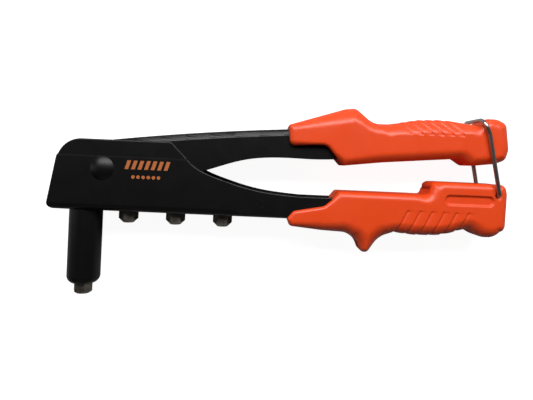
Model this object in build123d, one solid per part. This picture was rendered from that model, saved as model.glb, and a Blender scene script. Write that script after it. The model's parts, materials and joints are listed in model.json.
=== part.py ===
from build123d import *
import math
import os

# Hand riveter for blind rivets, lying on its side. Millimetres.
# Origin: centre of the fitted nosepiece's mouth, in the tool's middle plane.
# -Y is the way the nose points, +X runs along the handles, +Z is across the tool.

# ---------------------------------------------------------------- driving dimensions
# pressed-steel body
sheet = 2.3                    # thickness of the pressed steel
body_width = 23.0              # across the outside of the body's cheeks
bend_radius = 4.0              # outside radius of the bends
step_in = 0.8                  # the head's upper band is set in by this much
ledge_height = 30.7            # where that band begins, above the body's underside
head_front = 19.3              # lower front corner of the head, ahead of the barrel's axis
head_lean = 7.0                # the front edge leans back by this much
head_height = 40.8             # underside to the top of the head
head_corner = 14.0             # radius of the head's upper front corner
head_back = 50.6               # top rear corner of the head, behind the barrel's axis
arm_depth = 13.0               # depth of the arm's channel inside the grip
arm_narrowing = 2.1            # each cheek closes in by this much towards the grip
press_edge = 0.7               # rounding of the sheet's outer edges

# barrel and nosepieces
barrel_length = 43.7           # end face of the barrel to the body
barrel_radius = 9.4
barrel_bore_radius = 7.3
barrel_end_radius = 4.5
nose_hex_height = 5.9          # hexagon of the fitted nosepiece
nose_flats = 9.7               # across flats
nose_thread_radius = 4.0
nose_shank = 8.1               # threaded length of every nosepiece
nose_tail = 2.2                # cone that spreads the jaws
nose_tip_chamfer = 1.25
spare_height = 7.1             # the spares stand out of the body by this much
spare_tip_radius = 3.0
spare_tip_depth = 2.6
spare_first = 25.1             # first spare, behind the barrel's axis
spare_pitch = 27.7
fitted_bore_radius = 1.2
spare_bore_radii = [1.0, 1.45, 1.8]
spare_turns = [16.8, 11.3, 5.5]    # degrees that each spare is screwed past square
fitted_turn = 57.0

# lever and its pivot
pivot_x = 12.2                 # behind the barrel's axis
pivot_height = 24.1            # above the body's underside
pivot_pin_radius = 3.25
pin_head_radius = 6.85
pin_head_height = 2.3
pin_groove_depth = 0.6
ring_thickness = 0.9
ring_width = 2.5
bush_wall = 1.25
boss_radius = 8.0              # lever's cheeks round the pivot
fork_arm = 8.5                 # pivot to the centre of the fork's knuckles
fork_angle = 42.5              # knuckles above the pivot's level when closed, below it when open
knuckle_radius = 2.3
fork_rim = 1.6                 # metal round each knuckle
lever_gap = 0.4                # between the lever's cheeks and the head's upper band
lever_front = 15.5             # where the lever's web starts
lever_rise = 41.1              # top of the web there, above the body's underside
lever_length = 184.5
web_top = 13.4                 # how much the lever's top rises along its length
top_crown = 3.0                # how far that top line bows up from straight

# grips
grip_start = 117.3             # front edge of both grips, from the barrel's axis
grip_length = 125.6
grip_width = 24.0
grip_edge = 1.6                # chamfer round the grips
pocket_size = (28.1, 6.2)
pocket_depth = 1.2
pocket_corner = 2.8

# draw gear inside the barrel
draw_radius = 4.0              # draw tube, outside
draw_bore_radius = 1.9
draw_thread_radius = 2.9       # top end of the tube, screwed into the draw head
neck_radius = 3.5
flange_reach = 7.0
flange_thickness = 2.5
case_thread_radius = 5.0
mouth_inset = 2.2              # the case's mouth is this much smaller in radius than its thread
jaw_cone_angle = 10.0
jaw_length = 9.0
jaw_travel = 1.5
jaw_gap = 0.3                  # between neighbouring jaws when they are closed
jaw_bite_radius = 0.9
tooth_pitch = 1.2
tooth_count = 6
pusher_flange = 2.0
pusher_stem_radius = 2.3
pusher_stem = 4.9
pusher_bore_radius = 1.7
case_thread = 4.3              # length of thread between tube and case
nut_height = 3.0
counterbore_radius = 3.9
counterbore_depth = 5.8
jaw_spring_radius = 3.1
jaw_spring_wire = 0.4
return_spring_radius = 5.75
return_spring_wire = 0.7
return_spring_room = 10.3      # length left for the return spring when the handles are closed
connector_wall = 0.9
connector_flange = 2.2
connector_plate = 3.0

# latch bail and cross rivet
wire_radius = 1.15
bail_length = 43.9             # bail pivot to the middle of the bail's cross wire
bail_lean = 14.0               # degrees that the latched bail leans towards the nose
bail_inset = 6.2               # bail pivot, ahead of the back end of the grips
bail_height = 18.3             # bail pivot, above the body's underside
bail_hole_depth = 2.6
bail_bend = 5.0                # bend between a leg and the cross wire
cap_clear = 0.15               # between the wire and the grip's end block as the bail swings
cap_chamfer = 3.0              # along the end block's upper corners
rivet_radius = 2.0
rivet_inset = 14.5             # ahead of the grips
rivet_height = 8.0

# clearances
running_gap = 0.1              # radial, on pins, tubes and fork
side_gap = 0.3                 # between faces that pass each other
case_clear = 0.5               # jaw case to the barrel's floor when the lever is open
fork_play = 0.25               # the fork moves on an arc, so its groove is this much wider

# ---------------------------------------------------------------- places worked out
web_y = nose_hex_height + barrel_length
inner_half = body_width / 2 - sheet
lever_width = 2 * (inner_half - step_in - lever_gap)
pivot_y = web_y + pivot_height
bush_radius = pivot_pin_radius + bush_wall
swing = 2 * fork_angle
stroke = 2 * fork_arm * math.sin(math.radians(fork_angle))
groove_y = pivot_y + stroke / 2
knuckle_x = pivot_x - fork_arm * math.cos(math.radians(fork_angle))
lever_inner = lever_width / 2 - sheet
grip_end = grip_start + grip_length
grip_half = grip_width / 2
bail_x = grip_end - bail_inset
bail_y = web_y + bail_height
arm_end = grip_end - 38.0
taper_start = grip_start - 33.0
taper_end = grip_start + 16.7
spare_places = [spare_first + spare_pitch * i for i in range(3)]
rivet_x = grip_start - rivet_inset

barrel_floor = nose_hex_height + nose_shank
case_radius = barrel_bore_radius - side_gap
case_bottom = barrel_floor + case_clear + stroke
cone = math.tan(math.radians(jaw_cone_angle))
mouth_radius = case_thread_radius - mouth_inset
cone_top = case_bottom + mouth_inset / cone
jaw_bottom = case_bottom + nose_tail + running_gap
jaw_top = jaw_bottom + jaw_length
pusher_bottom = jaw_top + running_gap
pusher_top = pusher_bottom + pusher_flange
tube_bottom = pusher_top + jaw_travel + 0.6
counterbore_top = tube_bottom + counterbore_depth
case_top = tube_bottom + case_thread
nut_top = case_top + nut_height
connector_radius = barrel_bore_radius + connector_wall
connector_bottom = case_top + case_clear
connector_floor = nut_top + return_spring_room
connector_top = connector_floor + connector_plate
spring_pocket_radius = case_radius - running_gap
groove_half = knuckle_radius + fork_play + running_gap
head_bottom = groove_y - groove_half - flange_thickness
head_top = groove_y + groove_half + flange_thickness
flange_half = lever_inner - side_gap


# ---------------------------------------------------------------- helpers
def at(x, up):
    """A point of a side outline, by its height above the body's underside."""
    return (x, web_y + up)


def slab(face, half_width):
    """A side outline as a plate, centred on the middle plane."""
    return extrude(face, half_width, both=True)


def turned(points):
    """A solid of revolution about the barrel's axis from (radius, y) points."""
    return revolve(make_face(Polyline(*points, close=True)), Axis.Y)


def rod(radius, y0, y1, x=0.0):
    """A round bar along Y."""
    return Pos(x, y0, 0) * extrude(Plane.XZ * Circle(radius), -(y1 - y0))


def cross_pin(radius, x, y, z0, z1):
    """A round bar along Z."""
    low, high = sorted((z0, z1))
    return Pos(x, y, low) * extrude(Circle(radius), high - low)


def near(face, point):
    """The corner of a face that is nearest to a point."""
    return min(face.vertices(), key=lambda v: (v.X - point[0]) ** 2 + (v.Y - point[1]) ** 2)


# ---------------------------------------------------------------- body
def head_outline():
    """Side outline of the head and arm."""
    front_low = at(-head_front, 0)
    front_top = at(head_lean - head_front, head_height)
    back_top = at(head_back, head_height)
    slope_end = at(head_back + 11.1, head_height - 11.0)
    arm_front = at(grip_start + 8.0, arm_depth)
    arm_mid = at(0.45 * slope_end[0] + 0.55 * arm_front[0], arm_depth + 3.2)
    curve = Spline(slope_end, at(head_back + 29.1, head_height - 19.9), arm_mid, arm_front,
                   tangents=[(0.72, -0.69), (1, -0.06)])
    edges = Polyline(arm_front, at(arm_end, arm_depth), at(arm_end, 0), front_low,
                     front_top, back_top, slope_end)
    face = make_face([curve] + list(edges.edges()))
    face = fillet(near(face, front_low), 3.5)
    face = fillet(near(face, front_top), head_corner)
    return fillet(near(face, back_top), 2.5)


def plan(half):
    """Plan view of the channel, tapering in towards the grip, as a tall block."""
    points = [(-30, half), (taper_start, half), (taper_end, half - arm_narrowing),
              (arm_end + 10, half - arm_narrowing)]
    other_side = [(x, -z) for x, z in reversed(points)]
    face = Plane.XZ * make_face(Polyline(*points, *other_side, close=True))
    return Pos(0, web_y - 1, 0) * extrude(face, -(head_height + 20))


def channel_section(half, floor, radius):
    """The channel's cross-section with its stepped cheeks, run along X as a solid bar."""
    ledge = web_y + ledge_height
    roof = web_y + head_height + 10
    right = [(floor, half), (ledge, half), (ledge + step_in, half - step_in),
             (roof, half - step_in)]
    left = [(y, -z) for y, z in reversed(right)]
    face = Plane.YZ * make_face(Polyline(*right, *left, close=True))
    bar = Pos(-40, 0, 0) * extrude(face, arm_end + 60)
    low = [e for e in bar.edges() if abs(e.center().Y - floor) < 0.01
           and abs(abs(e.center().Z) - half) < 0.01 and e.length > 100]
    return fillet(low, radius)


def is_outline_rim(edge):
    """True for the outer edges of the head's top, its slope and the arm's upper curve."""
    middle = edge.position_at(0.5)
    on_cheek = abs(middle.Z) > inner_half
    along_ledge = abs(middle.Y - web_y - ledge_height - step_in / 2) < step_in
    flat_in_z = abs(edge.position_at(0).Z - edge.position_at(1).Z) < 0.01
    upper = middle.Y > web_y + arm_depth + 1
    along = head_lean - head_front < middle.X < taper_start
    return on_cheek and flat_in_z and upper and along and not along_ledge


def body_frame():
    outer = slab(head_outline(), body_width) & plan(body_width / 2)
    outer &= channel_section(body_width / 2, web_y, bend_radius)
    rims = [e for e in outer.edges() if is_outline_rim(e)]
    outer = fillet(rims, press_edge)
    inner = channel_section(inner_half, web_y + sheet, bend_radius - sheet) & plan(inner_half)
    part = outer - inner
    part -= rod(connector_radius, web_y - 1, web_y + sheet + 1)
    for x in spare_places:
        part -= rod(nose_thread_radius, web_y - 1, web_y + sheet + 1, x)
    part -= cross_pin(pivot_pin_radius, pivot_x, pivot_y, -20, 20)
    return part - cross_pin(rivet_radius, rivet_x, web_y + rivet_height, -20, 20)


def arm_rivet():
    share = (rivet_x - taper_start) / (taper_end - taper_start)
    half = body_width / 2 - arm_narrowing * share - 0.15
    return cross_pin(rivet_radius, rivet_x, web_y + rivet_height, -half, half)


# ---------------------------------------------------------------- lever pivot
def ring_space():
    """The room that the retaining ring takes round the pin."""
    half = body_width / 2
    outside = cross_pin(pivot_pin_radius + ring_width - pin_groove_depth, pivot_x, pivot_y,
                        -half - ring_thickness, -half)
    return outside - cross_pin(pivot_pin_radius - pin_groove_depth, pivot_x, pivot_y, -half - 2, 0)


def pivot_pin():
    half = body_width / 2
    dome = (pin_head_radius ** 2 + pin_head_height ** 2) / (2 * pin_head_height)
    ball = Pos(pivot_x, pivot_y, half + pin_head_height - dome) * Sphere(dome)
    head = ball & cross_pin(pin_head_radius + 1, pivot_x, pivot_y, half, half + pin_head_height + 1)
    shank = cross_pin(pivot_pin_radius, pivot_x, pivot_y, -half - ring_thickness - 1, half)
    return head + shank - ring_space()


def pivot_ring():
    """Snap ring in the pin's groove, open towards the handles."""
    mouth = Pos(pivot_x + pivot_pin_radius + 2, pivot_y, -body_width / 2) * Box(
        2 * pivot_pin_radius + 4, pivot_pin_radius, 6)
    return ring_space() - mouth


def pivot_bush():
    return (cross_pin(bush_radius, pivot_x, pivot_y, -inner_half, inner_half)
            - cross_pin(pivot_pin_radius, pivot_x, pivot_y, -inner_half - 1, inner_half + 1))


# ---------------------------------------------------------------- lever
def lever_top(drop):
    """The top line of the lever, lowered by `drop`."""
    start = at(lever_front, lever_rise - drop)
    end = at(lever_front + lever_length, lever_rise + web_top - drop)
    middle = ((start[0] + end[0]) / 2, (start[1] + end[1]) / 2 + top_crown)
    return ThreePointArc(start, middle, end)


def lever_outline():
    """Side outline of the lever's arm, without its boss and fork."""
    top = lever_top(0)
    boss_low = at(pivot_x, pivot_height - boss_radius)
    grip_entry = at(grip_start + 25.4, 34.9)
    underside = Spline(boss_low, at(45.0, 18.6), at(74.3, 27.1), at(94.7, 33.1),
                       at(grip_start + 7.1, 34.7), grip_entry, tangents=[(1, 0.02), (1, 0.05)])
    rear = Polyline(grip_entry, at(lever_front + lever_length, 41.4), top @ 1)
    front = Polyline(top @ 0, boss_low)
    return make_face([top, underside] + list(rear.edges()) + list(front.edges()))


def round_top_bends(block):
    """Rounds the two long upper edges of a block that has the lever's top line."""
    half = lever_width / 2
    bends = [e for e in block.edges() if abs(abs(e.center().Z) - half) < 0.01
             and e.center().Y > web_y + lever_rise and e.length > lever_length * 0.9]
    return fillet(bends, bend_radius)


def lever():
    half = lever_width / 2
    knuckle = (knuckle_x, groove_y)
    arm = round_top_bends(slab(lever_outline(), half))
    fork = make_hull((Pos(*knuckle) * Circle(knuckle_radius + fork_rim)
                      + Pos(pivot_x, pivot_y) * Circle(boss_radius)).edges())
    top = lever_top(sheet)
    tail = lever_front + lever_length + 5
    lower = Polyline(top @ 1, (top @ 1) + Vector(5, 0), at(tail, -20), at(-40, -20),
                     at(-40, 60), at(lever_front, 60), top @ 0)
    hollow = slab(make_face([top] + list(lower.edges())), lever_inner)
    part = arm + slab(fork, half) - hollow
    raised = inner_half - side_gap
    rubbing_ring = cross_pin(bush_radius + 1.7, pivot_x, pivot_y, -raised, raised)
    part += rubbing_ring - cross_pin(boss_radius, pivot_x, pivot_y, 1 - half, half - 1)
    part -= cross_pin(bush_radius + running_gap, pivot_x, pivot_y, -20, 20)
    for side in (-1, 1):
        part += cross_pin(knuckle_radius, *knuckle, side * (neck_radius + 0.4),
                          side * (lever_inner + 0.5))
    return part


# ---------------------------------------------------------------- draw head and tube
def draw_head():
    plate = extrude(Plane.XZ * RectangleRounded(2 * flange_reach, 2 * flange_half, 1.5),
                    -flange_thickness)
    part = rod(neck_radius, head_bottom, head_top)
    part += Pos(0, head_bottom, 0) * plate
    part += Pos(0, head_top - flange_thickness, 0) * plate
    part -= rod(draw_bore_radius, head_bottom - 1, head_top + 1)
    return part - rod(draw_thread_radius, head_bottom - 1, head_bottom + flange_thickness)


def draw_tube():
    thread_end = head_bottom + flange_thickness
    part = turned([
        (0, tube_bottom), (case_thread_radius, tube_bottom), (case_thread_radius, nut_top),
        (draw_radius, nut_top), (draw_radius, head_bottom), (draw_thread_radius, head_bottom),
        (draw_thread_radius, thread_end), (0, thread_end)])
    part -= rod(counterbore_radius, tube_bottom - 1, counterbore_top)
    return part - rod(draw_bore_radius, tube_bottom - 1, head_top)


def jaw_case():
    part = rod(case_radius, case_bottom, case_top)
    part -= turned([
        (0, case_bottom - 1), (mouth_radius - cone, case_bottom - 1),
        (case_thread_radius, cone_top), (case_thread_radius, case_top + 1), (0, case_top + 1)])
    lower_rim = part.edges().group_by(Axis.Y)[0].sort_by(SortBy.LENGTH)[-1]
    return chamfer(lower_rim, 1.2)


def jaw_case_locknut():
    """A round nut with two flats for a spanner."""
    part = rod(spring_pocket_radius - side_gap, case_top, nut_top)
    part &= Pos(0, nut_top, 0) * Box(2 * case_radius, 20, 2 * case_thread_radius + 1.6)
    return part - rod(case_thread_radius, case_top - 1, nut_top + 1)


# ---------------------------------------------------------------- jaws, pusher and springs
def jaw(number):
    """One of three cone segments with teeth across its bite."""
    def cone_radius(y):
        return mouth_radius + (y - case_bottom) * cone - running_gap
    blank = turned([(0, jaw_bottom), (cone_radius(jaw_bottom), jaw_bottom),
                    (cone_radius(jaw_top), jaw_top), (0, jaw_top)])
    blank -= rod(jaw_bite_radius, jaw_bottom - 1, jaw_top + 1)
    for i in range(tooth_count):
        y = jaw_bottom + 1.0 + tooth_pitch * i
        blank -= turned([(0, y), (jaw_bite_radius + 0.35, y),
                         (jaw_bite_radius - 0.1, y + tooth_pitch / 2), (0, y + tooth_pitch / 2)])
    blank -= turned([(0, jaw_bottom - 0.1), (jaw_bite_radius + 1.0, jaw_bottom - 0.1),
                     (jaw_bite_radius, jaw_bottom + 0.9), (0, jaw_bottom + 0.9)])
    reach = 2 * case_radius
    tip = jaw_gap / math.sqrt(3)
    side_x, side_z = reach / 2, reach * math.sqrt(3) / 2
    wedge = make_face(Polyline((tip, 0), (tip + side_x, side_z), (tip + reach, 0),
                               (tip + side_x, -side_z), close=True))
    sector = Pos(0, jaw_bottom - 1, 0) * extrude(Plane.XZ * wedge, -(jaw_length + 2))
    return Rot(0, 120 * number, 0) * (blank & sector)


def jaw_pusher():
    part = rod(case_thread_radius - 0.4, pusher_bottom, pusher_top)
    part += rod(pusher_stem_radius, pusher_top, pusher_top + pusher_stem)
    return part - rod(pusher_bore_radius, pusher_bottom - 1, pusher_top + pusher_stem + 1)


def coil(bottom, top, mean_radius, wire, turns):
    """A compression spring between two seats."""
    height = top - bottom - 2 * wire
    path = Helix(pitch=height / turns, height=height, radius=mean_radius)
    section = Plane(origin=path @ 0, z_dir=path % 0) * Circle(wire)
    spring = sweep(section, path=path, is_frenet=True)
    return Pos(0, bottom + wire, 0) * (Rot(-90, 0, 0) * spring)


def jaw_spring():
    return coil(pusher_top, counterbore_top, jaw_spring_radius, jaw_spring_wire, 5)


def return_spring():
    return coil(nut_top, connector_floor, return_spring_radius, return_spring_wire, 6)


# ---------------------------------------------------------------- barrel and connector
def barrel():
    end = nose_hex_height
    face_radius = barrel_radius - barrel_end_radius
    outside = make_face([
        Line((0, end), (face_radius, end)),
        RadiusArc((face_radius, end), (barrel_radius, end + barrel_end_radius),
                  -barrel_end_radius),
        Line((barrel_radius, end + barrel_end_radius), (barrel_radius, web_y)),
        Line((barrel_radius, web_y), (0, web_y)), Line((0, web_y), (0, end))])
    part = revolve(outside, Axis.Y)
    part -= rod(barrel_bore_radius, barrel_floor, web_y + 1)
    part -= rod(connector_radius, connector_bottom, web_y + 1)
    return part - rod(nose_thread_radius, end - 1, barrel_floor + 1)


def barrel_connector():
    """Threaded collar clamped in the body's web, with flats that clear the body's bends."""
    flange = rod(connector_radius + connector_flange, web_y + sheet, connector_top)
    across_flats = 2 * (inner_half - (bend_radius - sheet) - running_gap)
    part = flange & Pos(0, web_y, 0) * Box(4 * connector_radius, 4 * connector_radius, across_flats)
    part += rod(connector_radius, connector_bottom, web_y + sheet)
    part -= rod(spring_pocket_radius, connector_bottom - 1, connector_floor)
    return part - rod(draw_radius + running_gap, connector_floor - 1, connector_top + 1)


# ---------------------------------------------------------------- nosepieces
def nosepiece(hex_height, bore_radius, tip_radius, tip_depth, turn):
    """A nosepiece with its mouth at the origin and its thread pointing up."""
    across = nose_flats / math.sqrt(3)
    hexagon = Rot(0, turn, 0) * extrude(Plane.XZ * RegularPolygon(across, 6), -hex_height)
    tip = turned([(0, 0), (tip_radius, 0), (across + 0.1, tip_depth),
                  (across + 0.1, hex_height), (0, hex_height)])
    tail = hex_height + nose_shank
    part = hexagon & tip
    part += turned([
        (0, hex_height - 1), (nose_thread_radius, hex_height - 1), (nose_thread_radius, tail),
        (mouth_radius - running_gap, tail), (mouth_radius - 0.6, tail + nose_tail),
        (0, tail + nose_tail)])
    return part - rod(bore_radius, -1, tail + nose_tail + 1)


def fitted_nosepiece():
    return nosepiece(nose_hex_height, fitted_bore_radius, nose_flats / 2 - 0.9,
                     nose_tip_chamfer, fitted_turn)


def spare_nosepiece(place):
    part = nosepiece(spare_height, spare_bore_radii[place], spare_tip_radius, spare_tip_depth,
                     spare_turns[place])
    return Pos(spare_places[place], web_y - spare_height, 0) * part


# ---------------------------------------------------------------- grips
def moulding(outline):
    """A grip's outline as a plate with chamfered rims."""
    part = slab(outline, grip_half)
    rims = [e for e in part.edges() if abs(abs(e.center().Z) - grip_half) < 0.01]
    return chamfer(rims, grip_edge)


def lower_grip_outline():
    """Outline with a finger horn, going round from the front lobe."""
    horn = grip_start + 46.4
    under = [at(grip_start + 1.7, 1.0), at(grip_start + 3.6, -3.8), at(grip_start + 19.7, -5.7),
             at(horn - 12.0, -6.6), at(horn - 6.0, -10.2), at(horn - 1.2, -17.2),
             at(horn + 3.2, -16.2), at(horn + 8.4, -7.6), at(horn + 15.0, -4.9),
             at(grip_end - 44.8, -6.2), at(grip_end - 28.8, -5.2), at(grip_end - 21.5, -2.2),
             at(grip_end - 12.3, -6.2), at(grip_end - 4.0, -4.6), at(grip_end, 0)]
    over = [at(grip_end, 20.0), at(grip_end - 2.5, 24.5), at(grip_end - 39.8, 24.3),
            at(grip_end - 44.0, 16.8), at(grip_start + 29.7, 16.8), at(grip_start + 25.5, 11.5),
            at(grip_start + 21.0, 8.0), at(grip_start + 4.7, 5.0)]
    return make_face(Polyline(*under, *over, close=True))


def arm_space():
    """The room that the arm takes inside the lower grip."""
    arm = make_face(Polyline(at(0, 0), at(arm_end, 0), at(arm_end, arm_depth),
                             at(grip_start + 8, arm_depth), at(0, arm_depth + 60), close=True))
    return slab(arm, body_width) & plan(body_width / 2)


def lower_grip():
    part = moulding(lower_grip_outline()) - arm_space()
    for side in (-1, 1):
        pocket = Pos(grip_end - 22.15, web_y + 14.8, side * grip_half) * Box(
            *pocket_size, 2 * pocket_depth)
        part -= fillet(pocket.edges().filter_by(Axis.Z), pocket_corner)
        part -= cross_pin(wire_radius + running_gap, bail_x, bail_y,
                          side * (grip_half - bail_hole_depth), side * (grip_half + 1))
    return part


def upper_grip_outline():
    """Outline with a thumb rest, a neck for the bail and an end cap."""
    cap_top = bail_y + bail_length - wire_radius - cap_clear
    over = [at(grip_start, 53.5), at(grip_start + 1.6, 54.2), at(grip_start + 33.1, 64.7),
            at(grip_start + 37.9, 65.1), at(grip_start + 45.8, 57.6), at(grip_start + 50.3, 56.3),
            at(grip_start + 54.7, 56.5), at(grip_end - 51.8, 59.9), at(grip_end - 38.2, 60.6),
            at(grip_end - 23.8, 59.0), at(grip_end - 20.6, 58.1), at(grip_end - 14.9, 58.1),
            (grip_end - 14.4, cap_top - 1.0), (grip_end - 10.8, cap_top - 0.4),
            (grip_end - 5.5, cap_top - 0.8), at(grip_end - 2.0, 59.3)]
    under = [at(grip_end, 44.9), at(grip_end - 1.6, 39.1), at(grip_end - 7.3, 36.7),
             at(grip_end - 22.0, 35.0), at(grip_end - 28.0, 38.6), at(grip_end - 71.8, 34.2),
             at(grip_start + 30.9, 31.7), at(grip_start + 28.2, 36.0), at(grip_start + 22.9, 41.8),
             at(grip_start + 19.3, 43.4), at(grip_start + 3.8, 41.9), at(grip_start, 44.0)]
    return make_face(Polyline(*over, *under, close=True))


def lever_space():
    """The room that the lever takes inside the upper grip."""
    top = lever_top(0)
    rest = Polyline(top @ 1, at(lever_front + lever_length, 41.4), at(grip_start + 25.4, 34.9),
                    at(20, 34.7), top @ 0)
    return round_top_bends(slab(make_face([top] + list(rest.edges())), lever_width / 2))


def upper_grip():
    part = moulding(upper_grip_outline()) - lever_space()
    cap_top = bail_y + bail_length - wire_radius - cap_clear
    bar = cap_chamfer * math.sqrt(2)
    for side in (-1, 1):
        part -= Pos(grip_end, cap_top, side * grip_half) * Rot(45, 0, 0) * Box(29.6, bar, bar)
    return part


# ---------------------------------------------------------------- latch bail
def latch_bail():
    """A wire hoop whose ends turn into the lower grip and whose cross wire lies on the upper."""
    lean = math.radians(bail_lean)
    leg_z = grip_half + wire_radius + side_gap
    top_x = bail_x - bail_length * math.sin(lean)
    top_y = bail_y + bail_length * math.cos(lean)
    half = [(bail_x, bail_y, grip_half - bail_hole_depth + 0.2), (bail_x, bail_y, leg_z),
            (top_x + 3.5, top_y - 7.5, leg_z), (top_x, top_y, leg_z)]
    points = half + [(x, y, -z) for x, y, z in reversed(half)]
    bends = [2.0, 3.0, bail_bend]
    path = FilletPolyline(*points, radius=bends + bends[::-1])
    section = Plane(origin=path @ 0, z_dir=path % 0) * Circle(wire_radius)
    return sweep(section, path=path)


# ---------------------------------------------------------------- all nodes
nodes = {
    "body_frame": body_frame(),
    "arm_rivet": arm_rivet(),
    "pivot_pin": pivot_pin(),
    "pivot_ring": pivot_ring(),
    "pivot_bush": pivot_bush(),
    "lever": lever(),
    "draw_head": draw_head(),
    "draw_tube": draw_tube(),
    "jaw_case": jaw_case(),
    "jaw_case_locknut": jaw_case_locknut(),
    "jaw_pusher": jaw_pusher(),
    "jaw_spring": jaw_spring(),
    "return_spring": return_spring(),
    "barrel": barrel(),
    "barrel_connector": barrel_connector(),
    "nosepiece_3_2": fitted_nosepiece(),
    "lower_grip": lower_grip(),
    "upper_grip": upper_grip(),
    "latch_bail": latch_bail(),
}
for number in range(3):
    nodes[f"jaw_{number + 1}"] = jaw(number)
for place, rivet_size in enumerate(["2_4", "4_0", "4_8"]):
    nodes[f"nosepiece_{rivet_size}"] = spare_nosepiece(place)

os.makedirs("parts", exist_ok=True)
for name, solid in nodes.items():
    export_step(solid, f"parts/{name}.step")
    print(name, round(solid.volume, 1))
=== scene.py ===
# %% [markdown]
# # A hand riveter, lying on a pale table
# A hand riveter is a pair of long handles that pull a rivet's pin through a nosepiece. The packed
# model is the fixed frame: steel body, lever, pins and nosepieces keep its shapes and get better
# finishes here. The two moulded grips and the print on the body are built in this file, because
# their soft edges, grooves and thin ink are easier to shape as meshes than as solids.

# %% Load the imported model
import json
import math

import bpy
import numpy as np
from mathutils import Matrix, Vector, geometry, kdtree


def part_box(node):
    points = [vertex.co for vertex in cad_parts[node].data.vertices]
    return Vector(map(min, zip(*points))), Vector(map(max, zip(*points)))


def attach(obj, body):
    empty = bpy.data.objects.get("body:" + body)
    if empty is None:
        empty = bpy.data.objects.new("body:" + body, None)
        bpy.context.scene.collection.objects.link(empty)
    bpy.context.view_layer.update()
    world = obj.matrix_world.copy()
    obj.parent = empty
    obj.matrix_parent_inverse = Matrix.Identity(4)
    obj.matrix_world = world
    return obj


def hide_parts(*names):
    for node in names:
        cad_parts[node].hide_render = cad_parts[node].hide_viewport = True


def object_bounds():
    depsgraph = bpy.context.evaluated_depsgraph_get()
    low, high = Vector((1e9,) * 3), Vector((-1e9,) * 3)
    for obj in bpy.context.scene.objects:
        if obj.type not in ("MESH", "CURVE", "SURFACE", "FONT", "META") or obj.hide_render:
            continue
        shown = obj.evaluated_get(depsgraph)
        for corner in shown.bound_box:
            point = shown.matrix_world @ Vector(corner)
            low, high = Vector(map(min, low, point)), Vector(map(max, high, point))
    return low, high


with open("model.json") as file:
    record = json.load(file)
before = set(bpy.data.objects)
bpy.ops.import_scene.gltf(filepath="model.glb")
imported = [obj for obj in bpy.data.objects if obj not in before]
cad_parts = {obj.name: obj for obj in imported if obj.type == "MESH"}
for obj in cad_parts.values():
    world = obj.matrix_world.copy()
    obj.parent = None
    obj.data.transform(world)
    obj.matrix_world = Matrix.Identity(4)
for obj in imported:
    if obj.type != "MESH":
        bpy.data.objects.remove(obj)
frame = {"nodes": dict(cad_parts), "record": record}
cad_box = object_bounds()
MM = 0.001
print("CAD box in mm:", [[round(v / MM, 1) for v in corner] for corner in cad_box])

# %% [markdown]
# ## Where we look from
# The tool lies flat, so we look straight down on it from close by. A camera points down its own -Z
# until it is turned, so here it needs only a small turn about Z. A long lens from far away would
# show every side edge-on. A moderate wide one, close to the tool, shows a little of the grips'
# sides, as the eye would see them.

# %% Camera over the table
FOOT = Vector((105.0, 82.0, 0.0)) * MM      # the point of the tool right under the lens
CAMERA_HEIGHT = 270.0 * MM
camera_data = bpy.data.cameras.new("table_camera")
camera_data.sensor_width = 36.0
camera_data.lens = 30.87
camera_data.shift_y = -0.0732               # slides the view without tilting the camera
camera = bpy.data.objects.new("table_camera", camera_data)
camera.location = FOOT + Vector((0, 0, CAMERA_HEIGHT))
camera.rotation_euler = (0, 0, math.radians(2.5))
bpy.context.collection.objects.link(camera)
bpy.context.scene.camera = camera
bpy.context.scene.view_settings.view_transform = "Standard"
print("Camera", CAMERA_HEIGHT / MM, "mm above the tool's middle plane")

# %% [markdown]
# ## Table and light
# The table is a plain pale sheet. One long softbox beyond the top of the tool makes the bright band
# on every upper edge. Nothing bright hangs right over the tool, so the black paint stays black.
# A really white table would throw grey light up into the paint, so the sheet is a mid grey that
# glows only where the camera sees it directly.


# %% Helpers for nodes
def new_material(name):
    """A material with only an output and a Principled shader."""
    material = bpy.data.materials.new(name)
    material.use_nodes = True
    tree = material.node_tree
    shader = tree.nodes["Principled BSDF"]
    return material, tree, shader


def wire(tree, source, target):
    tree.links.new(source, target)


def maths(tree, operation, first, second=None, clamp=False):
    """A Math node fed by sockets or plain numbers; returns its result socket."""
    node = tree.nodes.new("ShaderNodeMath")
    node.operation = operation
    node.use_clamp = clamp
    for slot, value in enumerate((first, second)):
        if value is None:
            continue
        if isinstance(value, (int, float)):
            node.inputs[slot].default_value = value
        else:
            tree.links.new(value, node.inputs[slot])
    return node.outputs[0]


# %% The table
TABLE_HALF = 3.0                            # half its side, in metres
SEEN_GLOW = 0.94                            # a lit sheet looks white but throws little light back
table_z = cad_box[0][2]
table_mesh = bpy.data.meshes.new("table")
table_mesh.from_pydata([(x * TABLE_HALF, y * TABLE_HALF, table_z) for x, y in
                        ((-1, -1), (1, -1), (1, 1), (-1, 1))], [], [(0, 1, 2, 3)])
table = bpy.data.objects.new("table", table_mesh)
bpy.context.collection.objects.link(table)
table_white, table_tree, table_shader = new_material("table_white")
table_shader.inputs["Base Color"].default_value = (0.35, 0.35, 0.35, 1)
table_shader.inputs["Roughness"].default_value = 0.9
table_shader.inputs["Specular IOR Level"].default_value = 0.1
table_shader.inputs["Emission Color"].default_value = (1, 1, 1, 1)
seen = table_tree.nodes.new("ShaderNodeLightPath").outputs["Is Camera Ray"]
glow = maths(table_tree, "MULTIPLY", seen, SEEN_GLOW)
wire(table_tree, glow, table_shader.inputs["Emission Strength"])
table_mesh.materials.append(table_white)


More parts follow.
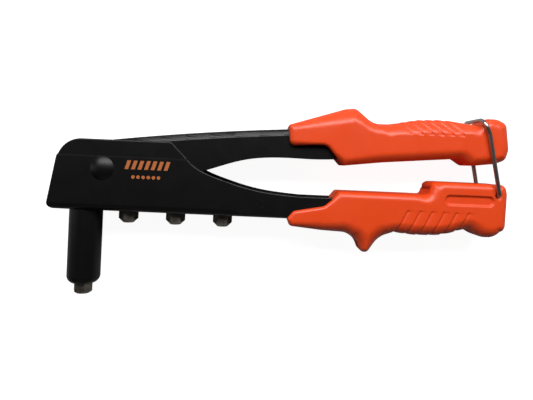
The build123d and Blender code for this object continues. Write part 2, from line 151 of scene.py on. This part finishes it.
# %% Softboxes
def softbox(name, place, size, watts):
    """A rectangular area light at `place`, facing the tool."""
    data = bpy.data.lights.new(name, "AREA")
    data.shape = "RECTANGLE"
    data.size, data.size_y = size
    data.energy = watts
    lamp = bpy.data.objects.new(name, data)
    lamp.location = place
    lamp.rotation_euler = (FOOT - Vector(place)).to_track_quat("-Z", "Y").to_euler()
    bpy.context.collection.objects.link(lamp)


softbox("key_beyond_the_tool", (0.10, 0.72, 0.68), (1.4, 0.45), 15.8)
softbox("fill_left", (-0.85, 0.10, 0.30), (0.3, 0.9), 0.6)
softbox("fill_right", (1.05, 0.05, 0.30), (0.3, 0.9), 0.18)
softbox("fill_near", (0.10, -0.85, 0.55), (1.2, 0.4), 0.3)
world = bpy.data.worlds.new("room")
world.use_nodes = True
world.node_tree.nodes["Background"].inputs["Color"].default_value = (1, 1, 1, 1)
world.node_tree.nodes["Background"].inputs["Strength"].default_value = 0.022
bpy.context.scene.world = world

# %% [markdown]
# ## Effects that several finishes share
# Wear on edges, a moulded or sprayed grain and slow patches of colour turn up on almost every part.
# They could be copied into each material, but then a change has to be made many times. So each is
# a node group with its own sockets, and every material sets its own amounts.


# %% Node group maker
def new_group(name, inputs, outputs):
    """An empty shader group. inputs are (name, default) floats and outputs are names."""
    group = bpy.data.node_groups.new(name, "ShaderNodeTree")
    for label, default in inputs:
        socket = group.interface.new_socket(label, in_out="INPUT", socket_type="NodeSocketFloat")
        socket.default_value = default
    for label in outputs:
        group.interface.new_socket(label, in_out="OUTPUT", socket_type="NodeSocketFloat")
    return group, group.nodes.new("NodeGroupInput"), group.nodes.new("NodeGroupOutput")


def noise(tree, scale, detail=3.0):
    """Noise in the object's own metres; scale is a socket or a number."""
    place = tree.nodes.new("ShaderNodeTexCoord")
    node = tree.nodes.new("ShaderNodeTexNoise")
    node.inputs["Detail"].default_value = detail
    node.inputs["Roughness"].default_value = 0.55
    tree.links.new(place.outputs["Object"], node.inputs["Vector"])
    if isinstance(scale, (int, float)):
        node.inputs["Scale"].default_value = scale
    else:
        tree.links.new(scale, node.inputs["Scale"])
    return node.outputs["Fac"]


# %% [markdown]
# Paint and plating wear where the surface turns sharply. A Bevel node gives the normal that a
# rounded edge would have. Where it differs from the surface's own normal there is an edge, and a
# noise breaks that line into patches.

# %% Edge wear
EDGE_GAIN = 6.0                             # how quickly a turn in the surface counts as an edge
PATCH_START = 0.42                          # noise below this leaves the edge unworn
PATCH_GAIN = 5.0
edge_wear, wear_in, wear_out = new_group(
    "edge_wear", [("Width", 0.0006), ("Patchiness", 900.0), ("Amount", 1.0)], ["Mask"])
bevel = edge_wear.nodes.new("ShaderNodeBevel")
bevel.samples = 6
wire(edge_wear, wear_in.outputs["Width"], bevel.inputs["Radius"])
surface = edge_wear.nodes.new("ShaderNodeNewGeometry")
dot = edge_wear.nodes.new("ShaderNodeVectorMath")
dot.operation = "DOT_PRODUCT"
wire(edge_wear, bevel.outputs["Normal"], dot.inputs[0])
wire(edge_wear, surface.outputs["Normal"], dot.inputs[1])
turned_away = maths(edge_wear, "SUBTRACT", 1.0, dot.outputs["Value"])
patches = noise(edge_wear, wear_in.outputs["Patchiness"])
edge = maths(edge_wear, "MULTIPLY", turned_away, EDGE_GAIN, clamp=True)
above_start = maths(edge_wear, "SUBTRACT", patches, PATCH_START)
worn_patches = maths(edge_wear, "MULTIPLY", above_start, PATCH_GAIN, clamp=True)
patchy_edge = maths(edge_wear, "MULTIPLY", edge, worn_patches)
wire(edge_wear, maths(edge_wear, "MULTIPLY", patchy_edge, wear_in.outputs["Amount"]),
     wear_out.inputs["Mask"])

# %% Grain and slow patches
grain, grain_in, grain_out = new_group("fine_grain", [("Scale", 2500.0)], ["Height"])
wire(grain, noise(grain, grain_in.outputs["Scale"], 2.0), grain_out.inputs["Height"])
mottle, mottle_in, mottle_out = new_group(
    "slow_patches", [("Scale", 60.0), ("Low", 0.9), ("High", 1.1)], ["Value"])
spread = mottle.nodes.new("ShaderNodeMapRange")
wire(mottle, noise(mottle, mottle_in.outputs["Scale"], 4.0), spread.inputs["Value"])
spread.inputs["From Min"].default_value = 0.3
spread.inputs["From Max"].default_value = 0.7
wire(mottle, mottle_in.outputs["Low"], spread.inputs["To Min"])
wire(mottle, mottle_in.outputs["High"], spread.inputs["To Max"])
wire(mottle, spread.outputs["Result"], mottle_out.inputs["Value"])


def use_group(tree, group, **values):
    """Places a group in a material and sets its inputs."""
    node = tree.nodes.new("ShaderNodeGroup")
    node.node_tree = group
    for label, value in values.items():
        node.inputs[label].default_value = value
    return node


def mix_colours(tree, factor, first, second):
    """first where factor is 0, second where it is 1."""
    node = tree.nodes.new("ShaderNodeMix")
    node.data_type = "RGBA"
    wire(tree, factor, node.inputs[0])
    node.inputs[6].default_value = (*first, 1)
    node.inputs[7].default_value = (*second, 1)
    return node.outputs[2]


def add_bump(tree, shader, height, distance):
    bump = tree.nodes.new("ShaderNodeBump")
    bump.inputs["Distance"].default_value = distance
    bump.inputs["Strength"].default_value = 1.0
    wire(tree, height, bump.inputs["Height"])
    wire(tree, bump.outputs["Normal"], shader.inputs["Normal"])


# %% [markdown]
# ## Black paint
# The body, lever and barrel are sprayed satin black. Paint like this is a very dark colour with a
# soft sheen and a slight orange peel, and it rubs through to grey steel only on corners. A coat
# over a metal would also work, but the steel shows so little that one plain shader is enough.


# %% Black paint material
def black_paint():
    material, tree, shader = new_material("black_paint")
    wear = use_group(tree, edge_wear, Width=0.0003, Patchiness=700.0, Amount=0.3)
    colour = mix_colours(tree, wear.outputs["Mask"], (0.0027, 0.0027, 0.0031), (0.09, 0.088, 0.085))
    wire(tree, colour, shader.inputs["Base Color"])
    sheen = use_group(tree, mottle, Scale=110.0, Low=0.34, High=0.38)
    wire(tree, sheen.outputs["Value"], shader.inputs["Roughness"])
    peel = use_group(tree, grain, Scale=1300.0)
    add_bump(tree, shader, peel.outputs["Height"], 0.00003)
    shader.inputs["Specular IOR Level"].default_value = 0.3
    return material


# %% [markdown]
# ## Bare steels
# Nosepieces are hard and oily, a dull brown-grey with bright corners. Turned parts are cleaner. One
# maker covers both: a metal with patches in colour and roughness. The latch and the springs are
# drawn wire, so thin that patches would look like dirt, and so they get a calmer finish.


# %% Steel maker
def steel(name, dark, bright, rough, grain_scale, wear_amount):
    material, tree, shader = new_material(name)
    shader.inputs["Metallic"].default_value = 1.0
    patches = use_group(tree, mottle, Scale=260.0, Low=0.0, High=0.55)
    wear = use_group(tree, edge_wear, Width=0.0003, Patchiness=1500.0, Amount=wear_amount)
    mask = maths(tree, "MAXIMUM", patches.outputs["Value"], wear.outputs["Mask"], clamp=True)
    wire(tree, mix_colours(tree, mask, dark, bright), shader.inputs["Base Color"])
    sheen = use_group(tree, mottle, Scale=500.0, Low=rough - 0.06, High=rough + 0.08)
    wire(tree, sheen.outputs["Value"], shader.inputs["Roughness"])
    scratches = use_group(tree, grain, Scale=grain_scale)
    add_bump(tree, shader, scratches.outputs["Height"], 0.00002)
    return material


def drawn_wire():
    """Clean drawn wire: slow changes in tone and gloss, and no wear."""
    material, tree, shader = new_material("drawn_wire")
    shader.inputs["Metallic"].default_value = 1.0
    tone = use_group(tree, mottle, Scale=90.0, Low=0.0, High=1.0)
    wire(tree, mix_colours(tree, tone.outputs["Value"], (0.43, 0.41, 0.39), (0.48, 0.46, 0.44)),
         shader.inputs["Base Color"])
    sheen = use_group(tree, mottle, Scale=60.0, Low=0.27, High=0.30)
    wire(tree, sheen.outputs["Value"], shader.inputs["Roughness"])
    return material


paint = black_paint()
nose_steel = steel("oiled_nose_steel", (0.19, 0.165, 0.135), (0.50, 0.46, 0.40), 0.40, 3000.0, 0.9)
turned_steel = steel("turned_steel", (0.42, 0.41, 0.40), (0.62, 0.61, 0.60), 0.3, 2000.0, 0.6)
spring_wire = drawn_wire()

# %% [markdown]
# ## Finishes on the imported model
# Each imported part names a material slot. A table from slot to finish puts the right one on all of
# them, with no list of parts to keep up to date. The lever and body have long thin triangles in
# their bends, which shade unevenly. A Weighted Normal modifier evens them out and moves nothing.

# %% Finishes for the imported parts
finishes = {"black_paint": paint, "black_pin": paint, "nose_steel": nose_steel,
            "bail_wire": spring_wire, "turned_steel": turned_steel, "jaw_steel": turned_steel,
            "spring_steel": spring_wire}
for part in frame["record"]["subparts"]:
    finish = finishes.get(part["material_slot"])
    if finish:
        for place in frame["nodes"][part["node"]].material_slots:
            place.material = finish
print("Finished slots:", sorted(finishes))

# %% Smooth shading on the long bends
for name in ("lever", "body_frame"):
    smoother = frame["nodes"][name].modifiers.new("even_normals", "WEIGHTED_NORMAL")
    smoother.weight = 100                   # the largest faces decide the normals

# %% [markdown]
# ## Moulded grips
# Each grip is a moulding whose side view says nearly everything: a closed outline, a flat side
# and an edge rounded by a different amount along each stretch. An extruded curve with a bevel can
# only round all of it alike. So we draw the outline with arcs at its corners, measure how far every
# point inside is from it, and let that distance decide how much the surface has dropped towards
# the edge. Pockets and grooves are pressed in afterwards.


# %% Sizes that both grips share
front = 117.3                               # front edge of the grips
back = 242.9                                # back end of the grips
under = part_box("body_frame")[0][1] / MM      # underside of the body, which heights count from
half_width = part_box("lower_grip")[1][2] / MM
print("Grips from", front, "to", back, "mm, half width", round(half_width, 2), "mm")


# %% An outline with an arc at every corner
ARC_LIMIT = 0.48                            # share of a side that one corner's arc may use


def rounded_outline(corners, spacing):
    """Points round a closed outline. A corner is (x, y, arc radius, edge rounding), all in mm.

    Returns the points and the edge rounding at each of them.
    """
    points = []
    roundings = []
    count = len(corners)
    arcs = []
    for i, (x, y, arc, rounding) in enumerate(corners):
        here = np.array((x, y))
        before = np.array(corners[i - 1][:2]) - here
        after = np.array(corners[(i + 1) % count][:2]) - here
        reach = ARC_LIMIT * min(np.linalg.norm(before), np.linalg.norm(after))
        before /= np.linalg.norm(before)
        after /= np.linalg.norm(after)
        half_angle = math.acos(max(-1.0, min(1.0, float(before @ after)))) / 2
        tangent = min(arc / math.tan(half_angle), reach)
        radius = tangent * math.tan(half_angle)
        start = here + before * tangent
        end = here + after * tangent
        centre = here + (before + after) / np.linalg.norm(before + after) * (
            radius / math.sin(half_angle))
        turn = math.pi - 2 * half_angle
        steps = max(2, int(math.ceil(radius * turn / spacing)))
        a0 = math.atan2(*(start - centre)[::-1])
        a1 = math.atan2(*(end - centre)[::-1])
        sweep = (a1 - a0 + math.pi) % (2 * math.pi) - math.pi
        arc_points = [centre + radius * np.array((math.cos(a0 + sweep * k / steps),
                                                  math.sin(a0 + sweep * k / steps)))
                      for k in range(steps + 1)]
        arcs.append((arc_points, rounding))
    for i, (arc_points, rounding) in enumerate(arcs):
        points += arc_points
        roundings += [rounding] * len(arc_points)
        next_points, next_rounding = arcs[(i + 1) % count]
        start = arc_points[-1]
        run = next_points[0] - start
        steps = int(np.linalg.norm(run) / spacing)
        for k in range(1, steps):
            points.append(start + run * k / steps)
            roundings.append(rounding + (next_rounding - rounding) * k / steps)
    return np.array(points), np.array(roundings)


# %% How far each point is from an outline
BATCH = 2000                                # points measured at once, to keep the arrays small


def depth_inside(points, loop, values):
    """Distance to the closed loop, and the loop's value at the nearest place."""
    points = np.asarray(points)
    a = loop
    b = np.roll(loop, -1, axis=0)
    run = b - a
    length = (run ** 2).sum(1) + 1e-12
    distance = np.empty(len(points))
    value = np.empty(len(points))
    next_values = np.roll(values, -1)
    for start in range(0, len(points), BATCH):
        p = points[start:start + BATCH]
        t = np.clip(((p[:, None, :] - a[None]) * run[None]).sum(2) / length[None], 0, 1)
        off = p[:, None, :] - (a[None] + run[None] * t[:, :, None])
        d = (off ** 2).sum(2)
        best = d.argmin(1)
        rows = np.arange(len(p))
        share = t[rows, best]
        distance[start:start + BATCH] = np.sqrt(d[rows, best])
        value[start:start + BATCH] = values[best] * (1 - share) + next_values[best] * share
    return distance, value


def is_inside(points, loop):
    """Even-odd test for many points at once."""
    x, y = points[:, 0][:, None], points[:, 1][:, None]
    ax, ay = loop[:, 0][None], loop[:, 1][None]
    bx, by = np.roll(loop, -1, axis=0).T
    crosses = (ay > y) != (by[None] > y)
    with np.errstate(divide="ignore", invalid="ignore"):
        at_x = ax + (y - ay) * (bx[None] - ax) / (by[None] - ay)
    return (crosses & (x < at_x)).sum(1) % 2 == 1


# %% Points spread over the side of a grip
ROW_SHARE = 0.866                           # height of a triangle with sides of 1


def hex_grid(low, high, spacing):
    """A triangular grid of points over a rectangle."""
    rows = int((high[1] - low[1]) / (spacing * ROW_SHARE)) + 2
    columns = int((high[0] - low[0]) / spacing) + 2
    return np.array([(low[0] + spacing * (c + 0.5 * (r % 2)), low[1] + spacing * ROW_SHARE * r)
                     for r in range(rows) for c in range(columns)])


def keep_apart(groups):
    """Joins groups of (points, least distance), leaving out points too near earlier ones."""
    kept = []
    for points, least in groups:
        if kept and len(points):
            tree = kdtree.KDTree(len(kept))
            for i, (x, y) in enumerate(kept):
                tree.insert((x, y, 0), i)
            tree.balance()
            points = [p for p in points if tree.find((p[0], p[1], 0))[2] > least]
        kept += [tuple(p) for p in points]
    return kept


# %% The rounded edge
CHAMFER_BLEND = 0.25                        # how softly the chamfer starts


def edge_profile(t, flat_share):
    """How far the surface has dropped, from 0 at the edge's inner limit to about 1 at the rim.

    flat_share is how much of the edge is a flat chamfer; the rest is a quarter round.
    """
    chamfer = np.where(t < CHAMFER_BLEND, t ** 2 / (2 * CHAMFER_BLEND), t - CHAMFER_BLEND / 2)
    arc = 1 - np.sqrt(np.clip(1 - t ** 2, 0, 1))
    return flat_share * chamfer + (1 - flat_share) * arc


# %% Points for one side
OUTLINE_SPACING = 0.6
OPEN_SPACING = 1.3                          # mesh size where the side is flat
RIM_STEPS = 7                               # rings of points that follow the rounded edge
FULL_RINGS = 4                              # rings next to the rim that keep all their points
RING_GAP = 0.12                             # least distance between points of different rings
GRID_SHARE = 0.55                           # the same for a grid, as a share of its spacing
RING_SLACK = 0.985                          # drops ring points that have come too near another side
FINE_DEPTH = 0.3                            # how far inside the outline a fine grid begins
OPEN_DEPTH = 0.4                            # and the coarse one


def side_points(loop, rounding, fine_areas):
    """Points in the plane: the outline first, then rings inside it, fine grids and a coarse one."""
    ahead = np.roll(loop, -1, axis=0) - np.roll(loop, 1, axis=0)
    ahead /= np.linalg.norm(ahead, axis=1)[:, None]
    inward = np.stack((-ahead[:, 1], ahead[:, 0]), axis=1)
    groups = [(loop, 0.0)]
    for k in range(1, RIM_STEPS + 1):
        drop = (1 - math.cos(k / RIM_STEPS * math.pi / 2)) * rounding
        ring = loop + inward * drop[:, None]
        distance, _ = depth_inside(ring, loop, rounding)
        good = is_inside(ring, loop) & (distance > drop * RING_SLACK)
        kept = np.arange(len(ring)) % (1 if k <= FULL_RINGS else 2) == 0
        groups.append((ring[good & kept], RING_GAP))
    grids = [(low, high, step, FINE_DEPTH) for low, high, step in fine_areas]
    grids.append((loop.min(0), loop.max(0), OPEN_SPACING, OPEN_DEPTH))
    for low, high, step, least_depth in grids:
        grid = hex_grid(low, high, step)
        distance, _ = depth_inside(grid, loop, rounding)
        inside = is_inside(grid, loop) & (distance > least_depth)
        groups.append((grid[inside], step * GRID_SHARE))
    return keep_apart(groups)


# %% Triangles between the points
def flat_triangles(points, count):
    """Joins the points into triangles. The first `count` of them are the outline.

    Returns the points in their new order, the triangles and each outline point's new number.
    """
    outline = [(i, (i + 1) % count) for i in range(count)]
    spots, _, faces, origin, _, _ = geometry.delaunay_2d_cdt(
        [Vector(p) for p in points], outline, [], 1, 1e-6)
    new_number = {old: new for new, olds in enumerate(origin) for old in olds}
    return np.array([tuple(v) for v in spots]), faces, [new_number[i] for i in range(count)]


# %% Two sides and the wall between them
WALL_STEPS = 16


def shell(flat, height, faces, rim):
    """Vertices, in mm, and faces of a closed body: the side at +height, its mirror and a wall."""
    total = len(flat)
    count = len(rim)
    vertices = [(x, y, z) for (x, y), z in zip(flat, height)]
    vertices += [(x, y, -z) for (x, y), z in zip(flat, height)]
    all_faces = [tuple(f) for f in faces] + [tuple(total + i for i in reversed(f)) for f in faces]
    strips = [rim]
    for k in range(1, WALL_STEPS):
        share = 1 - 2 * k / WALL_STEPS
        strips.append([len(vertices) + i for i in range(count)])
        vertices += [(flat[i][0], flat[i][1], height[i] * share) for i in rim]
    strips.append([total + i for i in rim])
    for upper, lower in zip(strips, strips[1:]):
        for i in range(count):
            j = (i + 1) % count
            all_faces.append((upper[j], upper[i], lower[i], lower[j]))
    return vertices, all_faces


# %% The moulding
def moulding(name, corners, flat_share, dents, fine_areas):
    """A closed grip. dents(x, y, z) gives how deep the surface is pressed in, in mm.

    fine_areas are (low corner, high corner, spacing) rectangles that need a closer mesh.
    """
    loop, rounding = rounded_outline([(x, under + up, arc, edge) for x, up, arc, edge in corners],
                                     OUTLINE_SPACING)
    flat, faces, rim = flat_triangles(side_points(loop, rounding, fine_areas), len(loop))
    distance, edge = depth_inside(flat, loop, rounding)
    distance[rim] = 0.0
    edge[rim] = rounding
    height = half_width - edge * edge_profile(np.clip(1 - distance / edge, 0, 1), flat_share)
    vertices, all_faces = shell(flat, height, faces, rim)
    mesh = bpy.data.meshes.new(name)
    mesh.from_pydata([tuple(c * MM for c in v) for v in vertices], [], all_faces)
    mesh.update()
    normals = np.empty(len(vertices) * 3)
    mesh.vertex_normals.foreach_get("vector", normals)
    normals = normals.reshape(-1, 3)
    if normals[:len(flat), 2].mean() < 0:
        mesh.flip_normals()
        normals = -normals
    spots = np.array(vertices)
    spots -= normals * dents(*spots.T)[:, None]
    mesh.vertices.foreach_set("co", (spots * MM).ravel())
    mesh.update()
    for polygon in mesh.polygons:
        polygon.use_smooth = True
    piece = bpy.data.objects.new(name, mesh)
    bpy.context.collection.objects.link(piece)
    print(name, len(mesh.vertices), "vertices", len(mesh.polygons), "faces")
    return piece


# %% [markdown]
# ## Grooves and pockets
# A modelled groove could be cut with a Boolean, which leaves hard edges and odd triangles. Here a
# function says how deep the surface lies at every point, so the walls can be as soft as the
# mould's, and the mesh stays as it is.


# %% Shapes that are pressed in
def smooth_step(value):
    value = np.clip(value, 0, 1)
    return value * value * (3 - 2 * value)


GROOVE_OVERRUN = 0.9                        # how far a groove goes on past `top`, as a share
GROOVE_FADE = 3                             # and over how many mm it then fades


def slanted_grooves(x, y, first, pitch, number, top, bottom, lean, bow, depth, line, ramp,
                    share, side, end):
    """Grooves that start at `top` and run to `bottom`, moving `lean` mm in x on the way.

    bow is 1 for a straight groove and more for one that starts flatter. Each groove is a sharp
    line, `line` mm wide, with a ramp of `ramp` mm that leads into it at `share` of its depth, on
    the left where side is 1 and on the right where it is -1.
    """
    height = abs(top - bottom)
    along = (y - top) / (bottom - top)
    course = np.where(along > 0, 1 - (1 - np.clip(along, 0, 1)) ** bow, bow * along)
    total = np.zeros_like(x)
    for i in range(number):
        across = x - (first + pitch * i + lean * course)
        sharp = np.exp(-(across / line) ** 2)
        uphill = -side * across
        gentle = share * np.exp(-np.clip(uphill, 0, None) / ramp) * (uphill > 0)
        total = np.maximum(total, np.maximum(sharp, gentle))
    lower_end = smooth_step((1 - along) * height / end)
    upper_end = smooth_step((along + GROOVE_OVERRUN) * height / GROOVE_FADE)
    return total * lower_end * upper_end * depth


def rounded_pocket(x, y, low, high, corner, depth, wall):
    """A flat-bottomed recess with round corners and sloping walls."""
    centre = ((low[0] + high[0]) / 2, (low[1] + high[1]) / 2)
    half = ((high[0] - low[0]) / 2 - corner, (high[1] - low[1]) / 2 - corner)
    dx = np.clip(np.abs(x - centre[0]) - half[0], 0, None)
    dy = np.clip(np.abs(y - centre[1]) - half[1], 0, None)
    return smooth_step((corner - np.hypot(dx, dy)) / wall) * depth


# %% [markdown]
# ## Orange plastic
# The grips are one orange plastic with a satin skin. Light goes in a little before it comes
# back, so the colour is saturated and the highlights are pale and broad. A little subsurface
# light gives that, and a fine bump gives the skin that the mould leaves.


# %% Orange plastic material
def orange_plastic():
    material, tree, shader = new_material("orange_plastic")
    tone = use_group(tree, mottle, Scale=45.0, Low=0.0, High=1.0)
    colour = mix_colours(tree, tone.outputs["Value"], (0.765, 0.062, 0.008), (0.80, 0.069, 0.010))
    wear = use_group(tree, edge_wear, Width=0.0005, Patchiness=900.0, Amount=0.12)
    worn = tree.nodes.new("ShaderNodeMix")
    worn.data_type = "RGBA"
    wire(tree, wear.outputs["Mask"], worn.inputs[0])
    wire(tree, colour, worn.inputs[6])
    worn.inputs[7].default_value = (0.88, 0.13, 0.04, 1)
    wire(tree, worn.outputs[2], shader.inputs["Base Color"])
    sheen = use_group(tree, mottle, Scale=120.0, Low=0.33, High=0.42)
    wire(tree, sheen.outputs["Value"], shader.inputs["Roughness"])
    shader.inputs["Subsurface Weight"].default_value = 0.12
    shader.inputs["Subsurface Radius"].default_value = (0.003, 0.001, 0.0005)
    skin = use_group(tree, grain, Scale=1900.0)
    add_bump(tree, shader, skin.outputs["Height"], 0.00005)
    return material


orange = orange_plastic()
print("Plastic:", orange.name, "with", len(orange.node_tree.nodes), "nodes")

# %% [markdown]
# ## Upper grip
# A thumb rest like a shark's fin, six slanted grooves over the top, a neck where the latch wire
# lies and a block at the end that stops the wire slipping off. A corner is x, height above the
# body's underside, radius of the corner and rounding of the edge there. They are listed clockwise
# from the front and then reversed, because the moulding's outline runs the other way.

# %% Upper grip
upper_corners = [
    (front - 0.6, 53.6, 1.5, 3.5), (front + 32.4, 64.6, 9.0, 9.0), (front + 38.6, 65.15, 4.0, 8.5),
    (front + 48.0, 56.3, 12.0, 6.0), (front + 58.0, 56.8, 20.0, 7.5),
    (back - 51.8, 60.1, 40.0, 8.5), (back - 35.8, 60.8, 60.0, 8.5),
    (back - 19.8, 58.4, 20.0, 6.5), (back - 14.6, 58.5, 1.6, 3.0),
    (back - 13.2, 62.0, 2.2, 4.6), (back - 6.4, 62.1, 7.0, 5.6), (back - 1.0, 59.4, 4.0, 5.6),
    (back, 44.5, 8.0, 4.0), (back - 1.6, 38.7, 4.0, 4.0),
    (back - 7.1, 36.3, 9.0, 4.5), (back - 21.0, 34.6, 4.0, 5.0),
    (back - 27.0, 38.5, 4.0, 5.0), (back - 71.8, 34.4, 80.0, 5.0),
    (front + 31.6, 31.6, 1.0, 4.0), (front + 26.4, 37.6, 6.0, 1.6),
    (front + 21.7, 42.9, 5.5, 1.6), (front + 13.0, 42.7, 10.0, 1.6),
    (front + 0.9, 41.6, 3.4, 2.6)]
upper_corners = upper_corners[::-1]


def upper_dents(x, y, z):
    return slanted_grooves(x, y, first=179.0, pitch=5.87, number=6, top=under + 59.6,
                           bottom=under + 50.6, lean=7.6, bow=1.6, depth=0.65, line=0.5,
                           ramp=1.5, share=0.85, side=1, end=1.0)


upper_grip = moulding("upper_grip_moulding", upper_corners, 0.4, upper_dents,
                      fine_areas=[((177, under + 49.5), (220, under + 61.5), 0.33)])
upper_grip.data.materials.append(orange)
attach(upper_grip, "lever")
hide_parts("upper_grip")

# %% [markdown]
# ## Lower grip
# This one has a horn that keeps the hand from sliding forward, a step behind it, a shallow pocket
# on each side and grooves for the fingertips that open to the underside. The latch wire turns in a
# hole near its end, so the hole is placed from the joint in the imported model.

# %% Lower grip
SIDE_BAND = 3                               # mm below each side that still count as the side
STEP_BAND = 2.5                             # and before and behind the step's end face
step_x = back - 43.4                        # the end face of the raised block
bail_joint = next(j for j in frame["record"]["behaviour"]["joints"] if j["name"] == "bail_swing")
wire_x, wire_y = (value / MM for value in bail_joint["pos_m"][:2])
lower_corners = [
    (front + 0.7, 0.4, 2.0, 1.8), (front + 1.9, -3.9, 3.0, 3.0), (front + 19.7, -5.9, 60.0, 5.5),
    (front + 35.3, -6.8, 9.0, 7.0), (front + 41.2, -10.9, 10.0, 8.0),
    (front + 45.8, -20.8, 3.3, 7.5), (front + 54.0, -9.0, 14.0, 8.0),
    (front + 61.8, -5.5, 8.0, 7.0),
    (back - 51.8, -6.6, 40.0, 7.0), (back - 35.8, -6.3, 50.0, 7.0), (back - 21.4, -1.7, 3.5, 7.0),
    (back - 12.3, -6.5, 11.0, 6.5), (back - 5.0, -5.6, 10.0, 6.0), (back, -0.3, 5.0, 4.5),
    (back, 19.5, 4.0, 3.5), (back - 1.5, 24.6, 3.5, 3.2), (back - 36.5, 24.65, 9.0, 3.4),
    (back - 42.9, 24.6, 3.8, 5.5), (back - 44.5, 16.9, 2.5, 4.6), (back - 52.0, 16.9, 9.0, 3.4),
    (front + 29.6, 16.8, 2.0, 3.2), (front + 25.6, 11.5, 3.0, 1.8),
    (front + 21.6, 8.0, 6.0, 1.6), (front + 4.3, 4.7, 3.0, 1.6)]


def lower_dents(x, y, z):
    pocket = rounded_pocket(x, y, (206.7, under + 11.7), (234.8, under + 17.9), 2.9, 1.2, 0.9)
    wire_hole = rounded_pocket(x, y, (wire_x - 1.7, wire_y - 1.7), (wire_x + 1.7, wire_y + 1.7),
                               1.7, 1.5, 0.5)
    grooves = slanted_grooves(x, y, first=182.5, pitch=6.86, number=6, top=under - 0.5,
                              bottom=under + 8.1, lean=4.2, bow=1.0, depth=0.6, line=0.7,
                              ramp=1.5, share=0.8, side=-1, end=0.8)
    on_side = np.abs(z) > half_width - SIDE_BAND
    slot = rounded_pocket(z, y, (-9.0, under + 19.9), (7.0, under + 22.1), 0.8, 2.0, 0.5)
    on_step = (np.abs(x - step_x) < STEP_BAND) & ~on_side
    return np.maximum(np.maximum(pocket, wire_hole) * on_side, np.maximum(grooves, slot * on_step))


lower_grip = moulding("lower_grip_moulding", lower_corners, 0.2, lower_dents,
                      fine_areas=[((178, under - 7.5), (226, under + 9), 0.42),
                                  ((205.5, under + 10.5), (236, under + 19.1), 0.45)])
lower_grip.data.materials.append(orange)
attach(lower_grip, "frame")
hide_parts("lower_grip")

# %% [markdown]
# ## Print on the body
# The cheek carries a pad-printed mark in a duller orange than the grips. A painted image would need
# a texture, but ink has a real thickness, a few hundredths of a millimetre. So each bar and dot is
# a very thin closed plate that stands on the paint.


# %% Printed mark
DISC_SIDES = 20


def printed_mark(name, shapes, face_z, thickness):
    """Flat polygons, in mm, each raised into a thin plate on the cheek."""
    vertices = []
    faces = []
    for outline in shapes:
        first = len(vertices)
        count = len(outline)
        vertices += [(x, y, face_z - thickness) for x, y in outline]
        vertices += [(x, y, face_z + thickness) for x, y in outline]
        faces.append([first + i for i in reversed(range(count))])
        faces.append([first + count + i for i in range(count)])
        for i in range(count):
            j = (i + 1) % count
            faces.append([first + i, first + j, first + count + j, first + count + i])
    mesh = bpy.data.meshes.new(name)
    mesh.from_pydata([tuple(c * MM for c in v) for v in vertices], [], faces)
    mark = bpy.data.objects.new(name, mesh)
    bpy.context.collection.objects.link(mark)
    return mark


def slanted_bar(x, y, width, height, lean):
    return [(x, y), (x + width, y), (x + width + lean, y + height), (x + lean, y + height)]


def disc(x, y, radius):
    turns = [2 * math.pi * k / DISC_SIDES for k in range(DISC_SIDES)]
    return [(x + radius * math.cos(turn), y + radius * math.sin(turn)) for turn in turns]


# %% Ink
def print_ink():
    """A thin coat of ink over black: duller and browner than the grips."""
    material, _, shader = new_material("print_ink")
    shader.inputs["Base Color"].default_value = (0.42, 0.115, 0.026, 1)
    shader.inputs["Roughness"].default_value = 0.55
    return material


# %% Place the mark on the cheek
INK_THICKNESS = 0.02
cheek_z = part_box("body_frame")[1][2] / MM
bar_left, bar_low, bar_pitch = 24.9, under + 24.4, 3.7
bar_width, bar_height, bar_lean = 2.1, 5.0, 1.6
bars = [slanted_bar(bar_left + bar_pitch * i, bar_low, bar_width, bar_height, bar_lean)
        for i in range(7)]
dot_left, dot_y, dot_pitch, dot_radius = 29.9, under + 20.1, 2.9, 1.0
dots = [disc(dot_left + dot_pitch * i, dot_y, dot_radius) for i in range(6)]
print_mark = printed_mark("printed_mark", bars + dots, cheek_z, INK_THICKNESS)
print_mark.data.materials.append(print_ink())
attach(print_mark, "frame")
print(len(bars), "bars and", len(dots), "dots")
